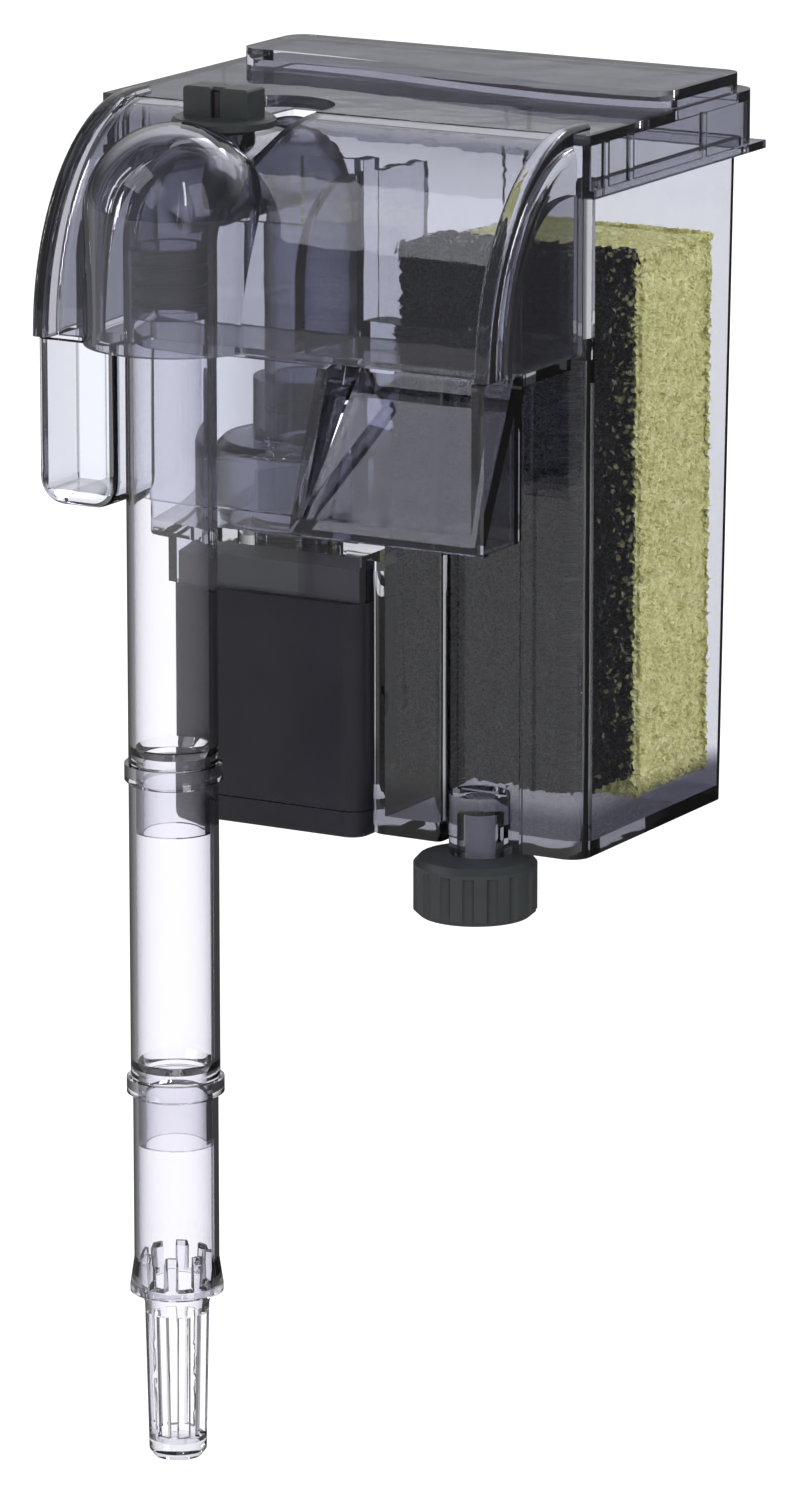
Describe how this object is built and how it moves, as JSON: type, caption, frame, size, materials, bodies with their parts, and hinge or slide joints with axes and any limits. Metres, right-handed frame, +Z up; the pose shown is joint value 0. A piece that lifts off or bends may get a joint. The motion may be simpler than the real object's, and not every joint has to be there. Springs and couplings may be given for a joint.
{
  "type": "hang on back filter",
  "caption": "Clear hang-on-back aquarium filter: case with chute and hooded lid, motor and impeller, intake tube with strainer, flow knob, levelling knob and foam blocks.",
  "frame": {"origin": "on the underside of the bridge that rests on the tank rim, in the plane of the case's front wall, half way across its width", "axes": "+X to the right seen from the tank, +Y away from the tank, +Z up"},
  "size_m": [0.0814, 0.0842, 0.2],
  "materials": {
    "smoke_clear": "glossy smoke-tinted clear styrene",
    "clear_tube": "glossy clear extruded plastic",
    "knob_plastic": "satin black moulded plastic",
    "dark_plastic": "satin black moulded plastic",
    "motor_plastic": "satin dark grey moulded plastic",
    "seal_rubber": "black silicone",
    "cord_jacket": "black flexible cord jacket",
    "lamination_steel": "stacked laminations",
    "coil_wrap": "amber insulating tape over windings",
    "magnet_ceramic": "sintered ferrite",
    "impeller_plastic": "white moulded plastic",
    "shaft_ceramic": "polished ceramic rod",
    "pin_steel": "turned stainless steel",
    "coarse_foam": "black open-cell coarse foam",
    "fine_foam": "pale yellow fine foam"
  },
  "bodies": {
    "case": {"filter_case": "smoke_clear", "intake_elbow": "smoke_clear", "spigot_seals": "seal_rubber", "elbow_foot_seal": "seal_rubber", "flow_knob_washer": "seal_rubber", "motor_housing": "motor_plastic", "motor_cover": "motor_plastic", "motor_seal": "seal_rubber", "stator_core": "lamination_steel", "stator_coil": "coil_wrap", "cord_grommet": "seal_rubber", "power_cord": "cord_jacket", "impeller_shaft": "shaft_ceramic", "shaft_bush_lower": "seal_rubber", "shaft_bush_upper": "seal_rubber", "impeller_cover": "smoke_clear", "levelling_pin": "pin_steel"},
    "lid": {"lid": "smoke_clear"},
    "flow_control": {"flow_knob": "knob_plastic", "flow_valve": "dark_plastic"},
    "rotor": {"rotor_magnet": "magnet_ceramic", "impeller": "impeller_plastic"},
    "leveller": {"levelling_knob": "knob_plastic"},
    "upper_tube": {"intake_tube_upper": "clear_tube"},
    "middle_tube": {"intake_tube_middle": "clear_tube"},
    "lower_tube": {"intake_tube_lower": "clear_tube"},
    "strainer": {"intake_strainer": "clear_tube"},
    "coarse_sponge": {"sponge_coarse": "coarse_foam"},
    "fine_sponge": {"sponge_fine": "fine_foam"}
  },
  "joints": [
    {"name": "lid_lift", "type": "slide", "parent": "case", "child": "lid", "axis": [0, 0, 1], "range_m": [0, 0.05]},
    {"name": "flow_knob_turn", "type": "hinge", "parent": "case", "child": "flow_control", "pos_m": [-0.0154, -0.009, 0.035], "axis": [0, 0, 1], "range_deg": [0, 90]},
    {"name": "rotor_spin", "type": "hinge", "parent": "case", "child": "rotor", "pos_m": [-0.0154, 0.016, -0.045], "axis": [0, 0, 1], "continuous": true},
    {"name": "levelling_knob_turn", "type": "hinge", "parent": "case", "child": "leveller", "pos_m": [0.02, 0.003, -0.077], "axis": [0, 0, 1], "continuous": true},
    {"name": "intake_swivel", "type": "hinge", "parent": "case", "child": "upper_tube", "pos_m": [-0.0154, -0.024, 0], "axis": [0, 0, 1], "continuous": true},
    {"name": "middle_tube_slide", "type": "slide", "parent": "upper_tube", "child": "middle_tube", "axis": [0, 0, -1], "range_m": [0, 0.008]},
    {"name": "lower_tube_slide", "type": "slide", "parent": "middle_tube", "child": "lower_tube", "axis": [0, 0, -1], "range_m": [0, 0.008]},
    {"name": "strainer_slide", "type": "slide", "parent": "lower_tube", "child": "strainer", "axis": [0, 0, -1], "range_m": [0, 0.004]},
    {"name": "coarse_sponge_lift", "type": "slide", "parent": "case", "child": "coarse_sponge", "axis": [0, 0, 1], "range_m": [0, 0.012]},
    {"name": "fine_sponge_lift", "type": "slide", "parent": "case", "child": "fine_sponge", "axis": [0, 0, 1], "range_m": [0, 0.012]}
  ]
}
